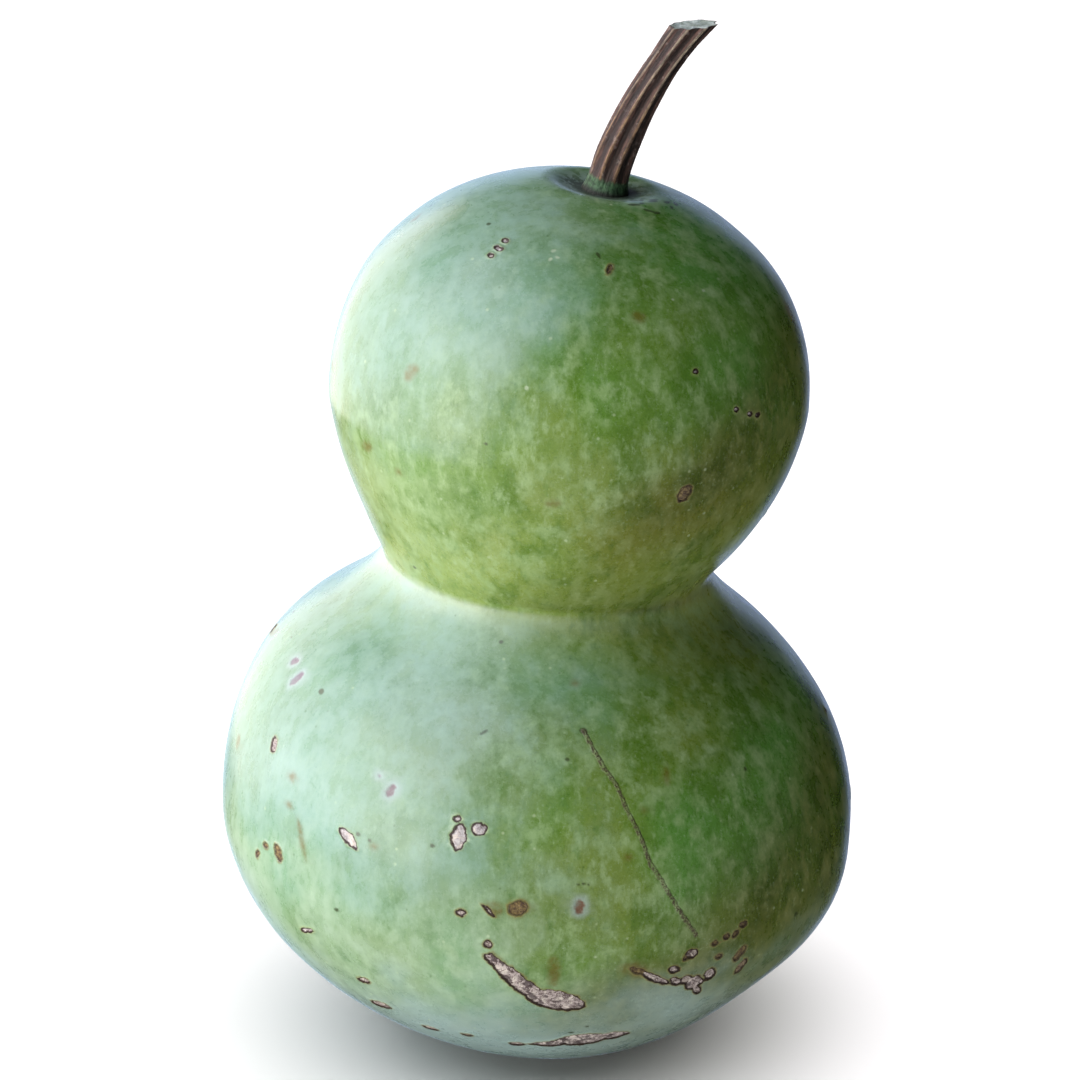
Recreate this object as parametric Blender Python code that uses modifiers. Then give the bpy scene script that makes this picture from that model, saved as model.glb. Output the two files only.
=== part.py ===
"""A bottle gourd with two round lobes, standing on its base, with the woody stalk it grew on.

Metres, +Z up. The origin is on the surface that the gourd stands on, under the middle of its lower lobe.
The fruit is turned about a straight axis and then leaned, swayed, dimpled and given a flat to stand on.
"""

import math

import bmesh
import bpy
from mathutils import Matrix, Vector
from mathutils.geometry import interpolate_bezier

# Driving dimensions of the fruit. Heights are from the middle of the lower lobe, along the fruit's axis.
LOWER_RADIUS = 0.075
LOWER_BELOW = 0.0540  # from the lower lobe's widest ring down to its end
LOWER_ABOVE = 0.067  # and up to where its round would close
UPPER_RADIUS = 0.0554
UPPER_BELOW = 0.062
UPPER_ABOVE = 0.0515
LOBE_SPACING = 0.1045
# How full each half lobe is: 2 is an ellipse, less is more pointed, more is rounder.
LOWER_BELOW_FULLNESS = 1.80
LOWER_ABOVE_FULLNESS = 2.30
UPPER_BELOW_FULLNESS = 1.43
UPPER_ABOVE_FULLNESS = 2.20
WAIST_BLEND = 0.024  # the lobes run into each other where their radii differ by less than this

# The axis leans to +X, more in the lower lobe, and the waist and the crown sit a little to -X of it.
LOWER_LEAN = math.radians(5.6)
UPPER_LEAN = math.radians(2.6)
WAIST_SWAY = -0.0036
WAIST_HEIGHT = 0.057
WAIST_SWAY_BELOW = 0.032
WAIST_SWAY_ABOVE = 0.015
CROWN_SWAY = -0.0031
CROWN_SWAY_START = 0.0050  # above the middle of the upper lobe

# The flat that the fruit stands on is cut this far above its lowest point.
FOOT_CUT = 0.0015

# The stalk's seat, in a dimple beside the crown's middle. It faces along the stalk's first direction.
SEAT = Vector((0.0155, 0.0, 0.2050))
SEAT_LEAN = math.radians(8.0)
SEAT_RADIUS = 0.0075
DIMPLE_RADIUS = 0.0150
SEAT_GAP = 0.0003

# The stalk: a curve from the seat to its cut end, thick at the collar and slimmest below the end.
STALK_END = Vector((0.0371, 0.0, 0.2463))
STALK_END_LEAN = math.radians(39.5)
STALK_HANDLE = 0.0134
# Each pair is a share of the stalk's length and the radius there.
STALK_RADII = (
    (0.00, 0.00530),
    (0.03, 0.00530),
    (0.10, 0.00460),
    (0.36, 0.00420),
    (0.55, 0.00375),
    (0.68, 0.00350),
    (0.84, 0.00370),
    (1.00, 0.00410),
)
STALK_TWIST = math.radians(24.0)
RIBS = 9
RIB_HEIGHT = 0.075  # a share of the stalk's radius
CUT_POINT = Vector((0.0346, 0.0, 0.2430))
CUT_NORMAL = Vector((-0.06, -0.04, 1.0)).normalized()

# How finely the solids are faceted.
FRUIT_SIDES = 48
BODY_STEP = 0.0050
CROWN_STEP = 0.0018
CROWN_ZONE = 0.0300  # the fine steps start where the crown is this wide from its axis
PROFILE_SAMPLES = 4000
SECTION_POINTS = RIBS * 4
STALK_STATIONS = 18


def clear_scene():
    for obj in list(bpy.data.objects):
        bpy.data.objects.remove(obj)


def make_material(name, colour, roughness):
    material = bpy.data.materials.new(name)
    material.use_nodes = True
    shader = material.node_tree.nodes["Principled BSDF"]
    shader.inputs["Base Color"].default_value = (*colour, 1.0)
    shader.inputs["Roughness"].default_value = roughness
    shader.inputs["Metallic"].default_value = 0.0
    material.diffuse_color = (*colour, 1.0)
    return material


def new_collection(name):
    collection = bpy.data.collections.new(name)
    bpy.context.scene.collection.children.link(collection)
    return collection


def smoothstep(value):
    value = min(max(value, 0.0), 1.0)
    return value * value * (3.0 - 2.0 * value)


def lobe_radius(height, widest, below, above, below_fullness, above_fullness):
    """The radius of one lobe at a height from its own middle, or 0 past its ends."""
    reach, fullness = (below, below_fullness) if height < 0.0 else (above, above_fullness)
    share = min(abs(height) / reach, 1.0)
    return widest * math.sqrt(1.0 - share**fullness)


def fruit_radius(height):
    """The larger of the two lobes' radii, with the waist between them filled to a soft crease."""
    lower = lobe_radius(
        height, LOWER_RADIUS, LOWER_BELOW, LOWER_ABOVE, LOWER_BELOW_FULLNESS, LOWER_ABOVE_FULLNESS
    )
    upper = lobe_radius(
        height - LOBE_SPACING, UPPER_RADIUS, UPPER_BELOW, UPPER_ABOVE, UPPER_BELOW_FULLNESS, UPPER_ABOVE_FULLNESS
    )
    closeness = 0.0
    if 0.0 < height < LOBE_SPACING:
        closeness = max(WAIST_BLEND - abs(lower - upper), 0.0) / WAIST_BLEND
    return max(lower, upper) + closeness**2 * WAIST_BLEND / 4.0


def fruit_profile():
    """(radius, height) pairs from the crown down to the base, evenly spaced along the curve."""
    top = LOBE_SPACING + UPPER_ABOVE
    middle = (top - LOWER_BELOW) / 2.0
    half = (top + LOWER_BELOW) / 2.0
    points = [(0.0, top)]
    for i in range(1, PROFILE_SAMPLES):
        height = middle + half * math.cos(math.pi * i / PROFILE_SAMPLES)
        radius = fruit_radius(height)
        on_crown = height > LOBE_SPACING and radius < CROWN_ZONE
        if math.dist((radius, height), points[-1]) >= (CROWN_STEP if on_crown else BODY_STEP):
            points.append((radius, height))
    points.append((0.0, -LOWER_BELOW))
    return points


def turn_profile(name, profile, sides):
    """A closed mesh turned about Z from (radius, height) pairs, made with a Screw modifier."""
    outline = bpy.data.meshes.new(name + "_outline")
    vertices = [(radius, 0.0, height) for radius, height in profile]
    edges = [(i, i + 1) for i in range(len(profile) - 1)]
    outline.from_pydata(vertices, edges, [])
    turned = bpy.data.objects.new(name + "_turned", outline)
    bpy.context.scene.collection.objects.link(turned)
    screw = turned.modifiers.new("turn", "SCREW")
    screw.steps = screw.render_steps = sides
    screw.use_merge_vertices = True
    screw.merge_threshold = 0.00001
    screw.use_normal_calculate = True
    graph = bpy.context.evaluated_depsgraph_get()
    mesh = bpy.data.meshes.new_from_object(turned.evaluated_get(graph))
    bpy.data.objects.remove(turned)
    return mesh


def lean_at(height):
    """The lean of the fruit's axis at a height, which changes evenly from lobe to lobe."""
    return LOWER_LEAN + (UPPER_LEAN - LOWER_LEAN) * height / LOBE_SPACING


def sway_at(height):
    reach = WAIST_SWAY_BELOW if height < WAIST_HEIGHT else WAIST_SWAY_ABOVE
    waist = WAIST_SWAY * math.exp(-(((height - WAIST_HEIGHT) / reach) ** 2))
    crown_start = LOBE_SPACING + CROWN_SWAY_START
    crown_share = max(height - crown_start, 0.0) / (UPPER_ABOVE - CROWN_SWAY_START)
    return waist + CROWN_SWAY * crown_share**2


def axis_point(height):
    """Where the leaning axis passes at a height: the lean summed from the lower lobe's middle."""
    mean_lean = lean_at(height / 2.0)
    return Vector((height * math.sin(mean_lean) + sway_at(height), 0.0, height * math.cos(mean_lean)))


def lean_fruit(points):
    """Moves points of the straight fruit so that its rings sit square on the leaning axis."""
    for point in points:
        height = point.co.z
        ring = Vector((point.co.x, point.co.y, 0.0))
        point.co = axis_point(height) + Matrix.Rotation(lean_at(height), 3, "Y") @ ring


def press_dimple(points):
    """Sinks a flat seat for the stalk into the crown, with a soft rim around it."""
    facing = seat_normal()
    for point in points:
        offset = point.co - SEAT
        above = offset.dot(facing)
        across = (offset - facing * above).length
        if across < DIMPLE_RADIUS and above > -DIMPLE_RADIUS:
            rise = smoothstep((across - SEAT_RADIUS) / (DIMPLE_RADIUS - SEAT_RADIUS))
            point.co -= facing * above * (1.0 - rise)


def cut_flat(bm, point, normal):
    """Cuts off what lies on the normal's side of a plane, and closes the cut with one flat face."""
    geometry = bm.verts[:] + bm.edges[:] + bm.faces[:]
    cut = bmesh.ops.bisect_plane(bm, geom=geometry, plane_co=point, plane_no=normal, clear_outer=True)
    rim = [item for item in cut["geom_cut"] if isinstance(item, bmesh.types.BMEdge)]
    bmesh.ops.contextual_create(bm, geom=rim)
    bmesh.ops.recalc_face_normals(bm, faces=bm.faces[:])


def seat_normal():
    return Vector((math.sin(SEAT_LEAN), 0.0, math.cos(SEAT_LEAN)))


def finish_object(name, mesh, material, collection):
    mesh.materials.clear()
    mesh.materials.append(material)
    mesh.shade_smooth()
    mesh.set_sharp_from_angle(angle=math.radians(40.0))
    obj = bpy.data.objects.new(name, mesh)
    collection.objects.link(obj)
    return obj


def make_fruit(collection):
    mesh = turn_profile("gourd_fruit", fruit_profile(), FRUIT_SIDES)
    bm = bmesh.new()
    bm.from_mesh(mesh)
    lean_fruit(bm.verts)
    lowest = min(vertex.co.z for vertex in bm.verts)
    bmesh.ops.translate(bm, verts=bm.verts[:], vec=(0.0, 0.0, -(lowest + FOOT_CUT)))
    press_dimple(bm.verts)
    cut_flat(bm, Vector((0.0, 0.0, 0.0)), Vector((0.0, 0.0, -1.0)))
    bm.to_mesh(mesh)
    bm.free()
    skin = make_material("green_rind", (0.20, 0.34, 0.11), 0.42)
    return finish_object("gourd_fruit", mesh, skin, collection)


def stalk_radius(share):
    """The stalk's mean radius at a share of its length, eased between the stations of STALK_RADII."""
    for (start, start_radius), (end, end_radius) in zip(STALK_RADII, STALK_RADII[1:]):
        if share <= end:
            ease = smoothstep((share - start) / (end - start))
            return start_radius + (end_radius - start_radius) * ease
    return STALK_RADII[-1][1]


def make_section(name, rib_height):
    """A closed outline of radius 1 with a rounded rib at each of RIBS even places."""
    curve = bpy.data.curves.new(name, "CURVE")
    spline = curve.splines.new("POLY")
    spline.points.add(SECTION_POINTS - 1)
    spline.use_cyclic_u = True
    for i, point in enumerate(spline.points):
        angle = 2.0 * math.pi * i / SECTION_POINTS
        radius = 1.0 + rib_height * math.cos(RIBS * angle)
        point.co = (radius * math.cos(angle), radius * math.sin(angle), 0.0, 1.0)
    section = bpy.data.objects.new(name, curve)
    bpy.context.scene.collection.objects.link(section)
    section.hide_render = True
    section.display_type = "WIRE"
    return section


def stalk_line():
    """Points along the middle of the stalk, from just above its seat to its end."""
    facing = seat_normal()
    start = SEAT + facing * SEAT_GAP
    end_direction = Vector((math.sin(STALK_END_LEAN), 0.0, math.cos(STALK_END_LEAN)))
    return interpolate_bezier(
        start,
        start + facing * STALK_HANDLE,
        STALK_END - end_direction * STALK_HANDLE,
        STALK_END,
        STALK_STATIONS,
    )


def make_stalk(collection):
    section = make_section("stalk_section", RIB_HEIGHT)
    curve = bpy.data.curves.new("stalk_line", "CURVE")
    curve.dimensions = "3D"
    curve.twist_mode = "MINIMUM"
    curve.bevel_mode = "OBJECT"
    curve.bevel_object = section
    curve.use_fill_caps = True
    spline = curve.splines.new("POLY")
    spline.points.add(STALK_STATIONS - 1)
    for i, (point, place) in enumerate(zip(spline.points, stalk_line())):
        share = i / (STALK_STATIONS - 1)
        point.co = (*place, 1.0)
        point.radius = stalk_radius(share)
        point.tilt = STALK_TWIST * share
    tube = bpy.data.objects.new("stalk_tube", curve)
    bpy.context.scene.collection.objects.link(tube)
    graph = bpy.context.evaluated_depsgraph_get()
    mesh = bpy.data.meshes.new_from_object(tube.evaluated_get(graph))
    bpy.data.objects.remove(tube)
    bpy.data.objects.remove(section)
    bm = bmesh.new()
    bm.from_mesh(mesh)
    bmesh.ops.remove_doubles(bm, verts=bm.verts[:], dist=0.00001)
    cut_flat(bm, CUT_POINT, CUT_NORMAL)
    bm.to_mesh(mesh)
    bm.free()
    bark = make_material("dry_stalk", (0.16, 0.10, 0.07), 0.70)
    return finish_object("stalk", mesh, bark, collection)


clear_scene()
gourd = new_collection("bottle_gourd")
make_fruit(gourd)
make_stalk(gourd)
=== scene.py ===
"""The looks of a two-lobed bottle gourd with its dry stalk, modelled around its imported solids."""

import math
import random
from collections import namedtuple

import bmesh
import bpy
import numpy as np
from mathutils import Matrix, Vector, noise
from mathutils.geometry import interpolate_bezier


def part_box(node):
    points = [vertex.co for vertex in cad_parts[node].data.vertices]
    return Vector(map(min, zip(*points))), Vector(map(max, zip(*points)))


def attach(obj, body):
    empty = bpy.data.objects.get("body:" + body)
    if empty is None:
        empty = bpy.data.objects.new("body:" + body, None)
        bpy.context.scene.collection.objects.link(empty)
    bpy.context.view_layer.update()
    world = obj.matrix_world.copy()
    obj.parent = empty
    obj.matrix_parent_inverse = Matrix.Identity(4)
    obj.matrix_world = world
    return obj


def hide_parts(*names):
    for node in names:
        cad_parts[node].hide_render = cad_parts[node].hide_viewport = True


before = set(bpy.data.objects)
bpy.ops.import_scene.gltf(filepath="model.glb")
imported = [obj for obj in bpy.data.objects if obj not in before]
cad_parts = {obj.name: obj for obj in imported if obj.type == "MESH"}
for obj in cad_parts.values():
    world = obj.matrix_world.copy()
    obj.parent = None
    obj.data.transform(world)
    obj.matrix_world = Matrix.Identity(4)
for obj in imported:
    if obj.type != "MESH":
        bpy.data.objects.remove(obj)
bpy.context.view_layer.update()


# ---------------------------------------------------------------------------------------------- the fruit
# The fruit is one grown piece: two swollen lobes and the pinched waist between them, in a hard, satin,
# green rind with a thin bloom of wax. It is leaned over by its own weight on the vine, has a dimple where
# the stalk grows, and stands on its slightly flattened end.

MM = 0.001
fruit_low, fruit_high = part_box("gourd_fruit")

# Heights are along the fruit's axis, from the middle of the lower lobe.
LOWER_RADIUS = (fruit_high[1] - fruit_low[1]) / 2.0
LOWER_BELOW = 54 * MM
LOWER_ABOVE = 67 * MM
UPPER_RADIUS = 55.4 * MM
UPPER_BELOW = 62 * MM
UPPER_ABOVE = 51.5 * MM
LOBE_SPACING = 104.5 * MM
# How full each half lobe is: 2 is an ellipse, less is more pointed, more is rounder.
LOWER_BELOW_FULLNESS = 1.80
LOWER_ABOVE_FULLNESS = 2.30
UPPER_BELOW_FULLNESS = 1.43
UPPER_ABOVE_FULLNESS = 2.20
WAIST_BLEND = 24 * MM

LOWER_LEAN = math.radians(5.6)
UPPER_LEAN = math.radians(2.6)
WAIST_SWAY = -3.6 * MM
WAIST_HEIGHT = 57 * MM
WAIST_SWAY_BELOW = 32 * MM
WAIST_SWAY_ABOVE = 15 * MM
CROWN_SWAY = -3.1 * MM
CROWN_SWAY_START = 5 * MM
FOOT_CUT = 1.5 * MM

# The middle of the dimple, which the stalk grows from.
SEAT = Vector((15.5 * MM, 0.0, 205.0 * MM))
SEAT_LEAN = math.radians(8.0)
SEAT_RADIUS = 6.5 * MM
DIMPLE_RADIUS = 15.0 * MM

FRUIT_SIDES = 140
ROW_STEP = 1.5 * MM


def lobe_radius(height, widest, below, above, below_fullness, above_fullness):
    reach = np.where(height < 0.0, below, above)
    fullness = np.where(height < 0.0, below_fullness, above_fullness)
    share = np.minimum(np.abs(height) / reach, 1.0)
    return widest * np.sqrt(1.0 - share**fullness)


def fruit_radius(height):
    """The larger of the two lobes' radii, with the waist between them filled to a soft crease."""
    lower = lobe_radius(
        height, LOWER_RADIUS, LOWER_BELOW, LOWER_ABOVE, LOWER_BELOW_FULLNESS, LOWER_ABOVE_FULLNESS
    )
    upper = lobe_radius(
        height - LOBE_SPACING,
        UPPER_RADIUS,
        UPPER_BELOW,
        UPPER_ABOVE,
        UPPER_BELOW_FULLNESS,
        UPPER_ABOVE_FULLNESS,
    )
    between = (height > 0.0) & (height < LOBE_SPACING)
    closeness = np.where(between, np.maximum(WAIST_BLEND - np.abs(lower - upper), 0.0) / WAIST_BLEND, 0.0)
    return np.maximum(lower, upper) + closeness**2 * WAIST_BLEND / 4.0


def fruit_profile():
    """Radii and heights from the crown down to the base, ROW_STEP apart along the curve."""
    top = LOBE_SPACING + UPPER_ABOVE
    turn = np.linspace(0.0, math.pi, 4001)
    heights = (top - LOWER_BELOW) / 2.0 + (top + LOWER_BELOW) / 2.0 * np.cos(turn)
    radii = fruit_radius(heights)
    radii[[0, -1]] = 0.0
    travelled = np.concatenate(([0.0], np.cumsum(np.hypot(np.diff(radii), np.diff(heights)))))
    stops = np.linspace(0.0, travelled[-1], round(travelled[-1] / ROW_STEP) + 1)
    return np.interp(stops, travelled, radii), np.interp(stops, travelled, heights)


def place_on_fruit(azimuth, height):
    """A point of the straight fruit, with the directions round it, up it and out of it, as vectors.

    azimuth is in degrees, from the front towards the right.
    """
    around = math.radians(azimuth)
    step = 0.05 * MM
    radius, further = fruit_radius(np.array([height, height + step]))
    slope = (further - radius) / step
    place = np.array([radius * math.sin(around), -radius * math.cos(around), height])
    east = np.array([math.cos(around), math.sin(around), 0.0])
    north = np.array([slope * math.sin(around), -slope * math.cos(around), 1.0])
    north /= np.linalg.norm(north)
    return place, east, north, np.cross(east, north)


# What the rind picked up on the vine. kind is cork for a healed scar, bruise, stain, dot for a dark speck or
# fleck for a pale one. height, length, width and bow are in millimetres, azimuth and tilt in degrees. bow
# bends the mark's middle sideways, roundness is 2 for an oval and less for pointed ends, and tone runs from
# pale cork at 0 to brown cork at 1.
Mark = namedtuple(
    "Mark", "kind azimuth height length width tilt tone roundness bow", defaults=(0.0, 0.5, 2.0, 0.0)
)

MARKS = [
    # The large torn scars low on the front.
    Mark("cork", -6.5, -4.8, 6.4, 1.8, -36, 0.45),
    Mark("cork", -1.2, -9.6, 22.0, 4.2, -40, 0.45, 1.7, -0.8),
    Mark("cork", 4.6, -14.2, 14.2, 6.2, -14, 0.45, 1.9),
    Mark("cork", 6.5, -30.6, 10.0, 3.4, 15, 0.5, 1.4),
    Mark("cork", 12.5, -28.7, 12.0, 7.0, 11, 0.5, 1.7),
    Mark("cork", 18.5, -27.4, 8.5, 4.4, 6, 0.5, 1.4),
    # The pale healed punctures in a row above them.
    Mark("cork", -14.5, 22.7, 6.4, 3.6, 85, 0.1, 1.4),
    Mark("cork", -15.0, 26.4, 1.8, 1.5, 10, 0.2),
    Mark("cork", -11.0, 25.0, 3.4, 2.7, 28, 0.0),
    Mark("cork", -35.5, 15.7, 6.2, 2.7, -29, 0.2, 1.5, 0.3),
    Mark("cork", -60.0, 26.7, 3.8, 2.4, 105, 0.35),
    # Brown spots at the left.
    Mark("cork", -52.0, 4.0, 4.4, 2.6, 125, 0.9),
    Mark("cork", -56.0, 3.7, 2.2, 1.4, 20, 0.9),
    Mark("cork", -58.5, 0.0, 2.4, 1.3, 60, 0.8),
    Mark("stain", -46.0, 10.5, 9.8, 1.8, 115),
    # Small scars above the large one.
    Mark("cork", -13.0, 6.0, 2.2, 1.4, 11, 0.5),
    Mark("stain", -7.5, 8.2, 4.4, 3.4, -13),
    Mark("cork", -8.4, 7.6, 3.4, 0.9, -40, 0.6, 1.5),
    Mark("stain", -3.5, 9.0, 6.0, 4.4, 27),
    Mark("cork", -3.5, 9.0, 4.4, 3.2, 27, 0.95),
    Mark("cork", -8.0, -0.3, 1.7, 1.7, 0, 0.6),
    Mark("bruise", 7.0, 10.2, 3.6, 2.6, 92, 1.0),
    Mark("stain", 3.5, -5.9, 8.4, 2.8, 96),
    # The broken cluster at the right, and the trail of spots above it.
    Mark("stain", 18.0, -5.6, 7.0, 4.0, -25),
    Mark("cork", 18.4, -5.8, 4.6, 1.6, -25, 1.0, 1.6),
    Mark("cork", 22.0, -8.0, 8.8, 1.7, -28, 0.42, 1.6, -0.3),
    Mark("cork", 25.2, -6.2, 2.6, 2.2, 0, 0.5),
    Mark("cork", 26.2, -9.6, 3.4, 2.0, -30, 0.5),
    Mark("cork", 28.4, -9.6, 3.0, 2.6, 0, 0.6),
    Mark("cork", 30.4, -11.0, 4.4, 4.0, 15, 0.45),
    Mark("cork", 33.2, -9.2, 3.0, 3.4, -13, 0.45),
    Mark("cork", 31.6, -13.4, 4.2, 1.9, -50, 0.55),
    Mark("cork", 28.0, -2.6, 3.0, 2.4, 13, 0.6),
    Mark("cork", 27.0, -3.3, 1.8, 1.2, 41, 0.8),
    Mark("cork", 39.0, -5.3, 4.6, 2.2, 55, 0.85),
    Mark("cork", 40.5, -9.4, 4.4, 2.4, 62, 0.75),
    Mark("cork", 38.5, 2.2, 2.2, 1.4, 0, 0.8),
    Mark("cork", 37.0, 0.4, 2.2, 1.3, 30, 0.9),
    Mark("cork", 35.0, 0.2, 1.8, 1.3, 0, 0.8),
    Mark("cork", 32.5, -0.9, 1.7, 1.3, 0, 0.9),
    Mark("cork", 34.0, -4.6, 1.8, 1.5, 0, 0.8),
    # Faint scuffs near the base.
    Mark("cork", -45.0, -12.7, 5.0, 1.2, 27, 0.3),
    Mark("cork", -33.0, -21.0, 4.0, 1.8, 25, 0.6),
    Mark("cork", -32.0, -29.0, 6.0, 2.6, 20, 0.6),
    Mark("cork", -21.0, -32.5, 4.0, 2.0, 15, 0.6),
    Mark("cork", -12.0, -31.0, 2.4, 1.4, 10, 0.7),
    Mark("cork", -1.0, -32.0, 3.4, 2.2, 5, 0.6),
    # Bruises on the lower lobe's shoulder.
    Mark("bruise", -69.5, 42.5, 3.6, 2.4, 26, 0.2),
    Mark("bruise", -64.0, 40.5, 5.2, 2.8, 60, 0.2),
    Mark("bruise", -28.5, 28.8, 3.8, 2.2, 70, 0.4),
    Mark("bruise", -31.5, 31.0, 1.0, 1.0, 0, 0.2),
    # Dark specks and olive stains on the lower lobe.
    Mark("dot", -54.0, 41.4, 1.8, 1.5),
    Mark("dot", 9.5, 45.0, 1.8, 1.5),
    Mark("dot", -12.5, 58.4, 0.9, 0.9),
    Mark("dot", -19.0, 19.7, 1.2, 1.0),
    Mark("dot", 5.5, 40.0, 0.9, 0.9),
    Mark("dot", 44.5, 34.7, 1.1, 1.0),
    Mark("dot", -36.5, -2.3, 1.4, 1.0),
    Mark("dot", 12.0, -23.0, 1.1, 1.1),
    Mark("dot", 9.5, -25.5, 1.2, 1.0),
    Mark("dot", 53.5, -0.7, 1.4, 1.1),
    Mark("dot", -12.0, 43.4, 2.2, 0.7, 40),
    Mark("dot", 6.6, 15.2, 0.7, 0.6),
    Mark("dot", 7.5, 15.4, 0.8, 0.6),
    Mark("dot", 8.4, 15.2, 0.6, 0.6),
    Mark("dot", -33.5, 17.5, 1.1, 1.0),
    Mark("dot", -31.0, 17.0, 1.0, 0.8),
    Mark("stain", -30.0, 16.0, 2.2, 1.6),
    Mark("stain", 19.5, 30.4, 1.8, 1.6),
    Mark("stain", 15.5, 21.0, 1.8, 1.6),
    Mark("stain", 25.6, 36.4, 4.0, 1.5, 74),
    Mark("stain", 9.0, 52.6, 1.8, 1.6),
    Mark("stain", -51.5, 23.0, 3.0, 2.4),
    Mark("stain", -50.5, 16.7, 2.4, 1.6),
    # The upper lobe: two pairs of rings, brown nicks, and the scuffs behind the stalk.
    Mark("cork", -28.9, 145.4, 1.5, 1.3, 0, 0.25),
    Mark("cork", -28.2, 146.8, 1.3, 1.2, 0, 0.25),
    Mark("cork", -26.9, 146.6, 1.5, 1.3, 0, 0.25),
    Mark("cork", -26.2, 148.0, 1.6, 1.3, 0, 0.25),
    Mark("dot", -39.5, 150.0, 1.1, 1.0),
    Mark("dot", 11.5, 146.6, 1.9, 1.0, 100),
    Mark("cork", 14.0, 144.4, 3.0, 1.1, 55, 1.0, 1.6),
    Mark("dot", 51.0, 152.9, 3.4, 1.1, -20),
    Mark("dot", 54.5, 151.8, 2.8, 1.2, -45),
    Mark("dot", 57.5, 151.3, 2.2, 1.0, -10),
    Mark("dot", 58.5, 152.8, 1.6, 1.0),
    Mark("dot", 66.0, 153.2, 2.4, 1.0, 10),
    Mark("dot", 70.0, 152.5, 3.0, 1.3, -25),
    Mark("dot", 74.0, 152.6, 2.8, 1.2, -40),
    Mark("dot", 77.5, 151.6, 2.6, 1.2, -20),
    Mark("dot", 81.0, 150.9, 2.4, 1.1, 15),
    Mark("dot", 73.0, 151.0, 2.2, 1.0, 20),
    Mark("stain", 19.0, 136.0, 3.0, 2.6),
    Mark("fleck", 44.0, 139.0, 0.9, 0.8),
    Mark("fleck", 31.5, 138.5, 0.8, 0.7),
    Mark("fleck", -11.0, 122.0, 1.0, 0.9),
    Mark("fleck", -5.6, 147.2, 1.4, 0.9, 30),
    Mark("fleck", -4.2, 146.2, 1.1, 0.8, -20),
    Mark("fleck", -6.6, 145.8, 1.3, 0.7, 50),
    Mark("stain", -41.5, 120.8, 4.4, 3.0, 51),
    Mark("cork", 31.0, 124.6, 1.3, 1.0, 0, 0.2),
    Mark("cork", 41.5, 115.3, 1.5, 1.1, 0, 0.2),
    Mark("cork", 46.0, 113.5, 1.5, 1.0, 0, 0.3),
    Mark("cork", 48.8, 112.7, 1.6, 1.0, 0, 0.3),
    Mark("cork", 27.5, 98.3, 4.0, 3.0, 69, 0.8),
    Mark("stain", -55.5, 99.8, 4.8, 2.4, 18),
    Mark("stain", -44.0, 97.0, 2.0, 1.6),
    Mark("stain", -3.5, 96.8, 3.2, 1.8, 10),
    Mark("dot", -19.5, 109.0, 0.8, 0.7),
    Mark("dot", -49.0, 70.0, 1.3, 1.1),
    # The larger scars at the back and on the right side.
    Mark("cork", 152.0, 24.0, 13.0, 3.6, 38, 0.5, 1.5, 1.4),
    Mark("cork", 208.0, -18.0, 19.0, 4.6, -14, 0.45, 1.5, -1.6),
    Mark("cork", 116.0, 8.0, 5.0, 3.2, 70, 0.2, 1.5),
    Mark("cork", 238.0, 118.0, 7.0, 2.6, -50, 0.4, 1.5),
    Mark("cork", 170.0, 132.0, 3.6, 2.8, 20, 0.8),
    Mark("bruise", 196.0, 30.0, 4.4, 2.8, 60, 0.4),
    Mark("bruise", 128.0, 100.0, 3.8, 2.6, 20, 0.2),
    # The blossom scar at the base.
    Mark("cork", 0.0, -53.9, 11.0, 10.0, 0, 0.8),
]

# The small marks that the back shares with the front are scattered by chance. Each row is a kind of mark, how
# many there are, and their smallest and largest length in millimetres.
SCATTERED = (("cork", 26, 1.2, 3.6), ("dot", 34, 0.7, 1.5), ("stain", 22, 1.8, 5.0))
scatter = random.Random(11)
for kind, count, smallest, largest in SCATTERED:
    for _ in range(count):
        length = scatter.uniform(smallest, largest)
        azimuth = scatter.uniform(75.0, 285.0)
        height = scatter.choice((scatter.uniform(-36.0, 50.0), scatter.uniform(72.0, 148.0)))
        width = length * scatter.uniform(0.5, 0.9)
        MARKS.append(Mark(kind, azimuth, height, length, width, scatter.uniform(0, 180), scatter.random()))

# A thin scratch runs down the front of the lower lobe: azimuths in degrees and heights in millimetres.
SCRATCH = (
    (9.5, 45), (12.5, 39), (14.8, 35.5), (16, 31), (18, 25.5), (19.5, 19.5), (22, 14.5), (25, 8), (28.5, 2)
)
SCRATCH_WIDTH = 1.1 * MM
# Each finer grid of faces reaches this far past the marks.
FINER_MARGINS = (1.8 * MM, 0.8 * MM, 0.3 * MM)


def mark_line(mark):
    """The two ends of a mark's long middle line, and how far from that line the mark reaches."""
    place, east, north, _ = place_on_fruit(mark.azimuth, mark.height * MM)
    tilt = math.radians(mark.tilt)
    along = east * math.cos(tilt) + north * math.sin(tilt)
    half = max(mark.length - mark.width, 0.0) / 2.0 * MM
    return place - along * half, place + along * half, (mark.width / 2.0 + abs(mark.bow)) * MM


def scratch_points():
    return [place_on_fruit(azimuth, height * MM)[0] for azimuth, height in SCRATCH]


def distance_to_line(points, start, end):
    line = end - start
    share = np.clip((points - start) @ line / max(line @ line, 1e-12), 0.0, 1.0)
    return np.linalg.norm(points - start - share[:, None] * line, axis=1)


def near_marks(points, margin):
    """Which points lie on a mark or the scratch, or within a margin of one."""
    found = np.zeros(len(points), bool)
    for mark in MARKS:
        start, end, reach = mark_line(mark)
        found |= distance_to_line(points, start, end) < reach + margin
    scratch = scratch_points()
    for start, end in zip(scratch, scratch[1:]):
        found |= distance_to_line(points, start, end) < SCRATCH_WIDTH + margin
    return found


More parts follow.
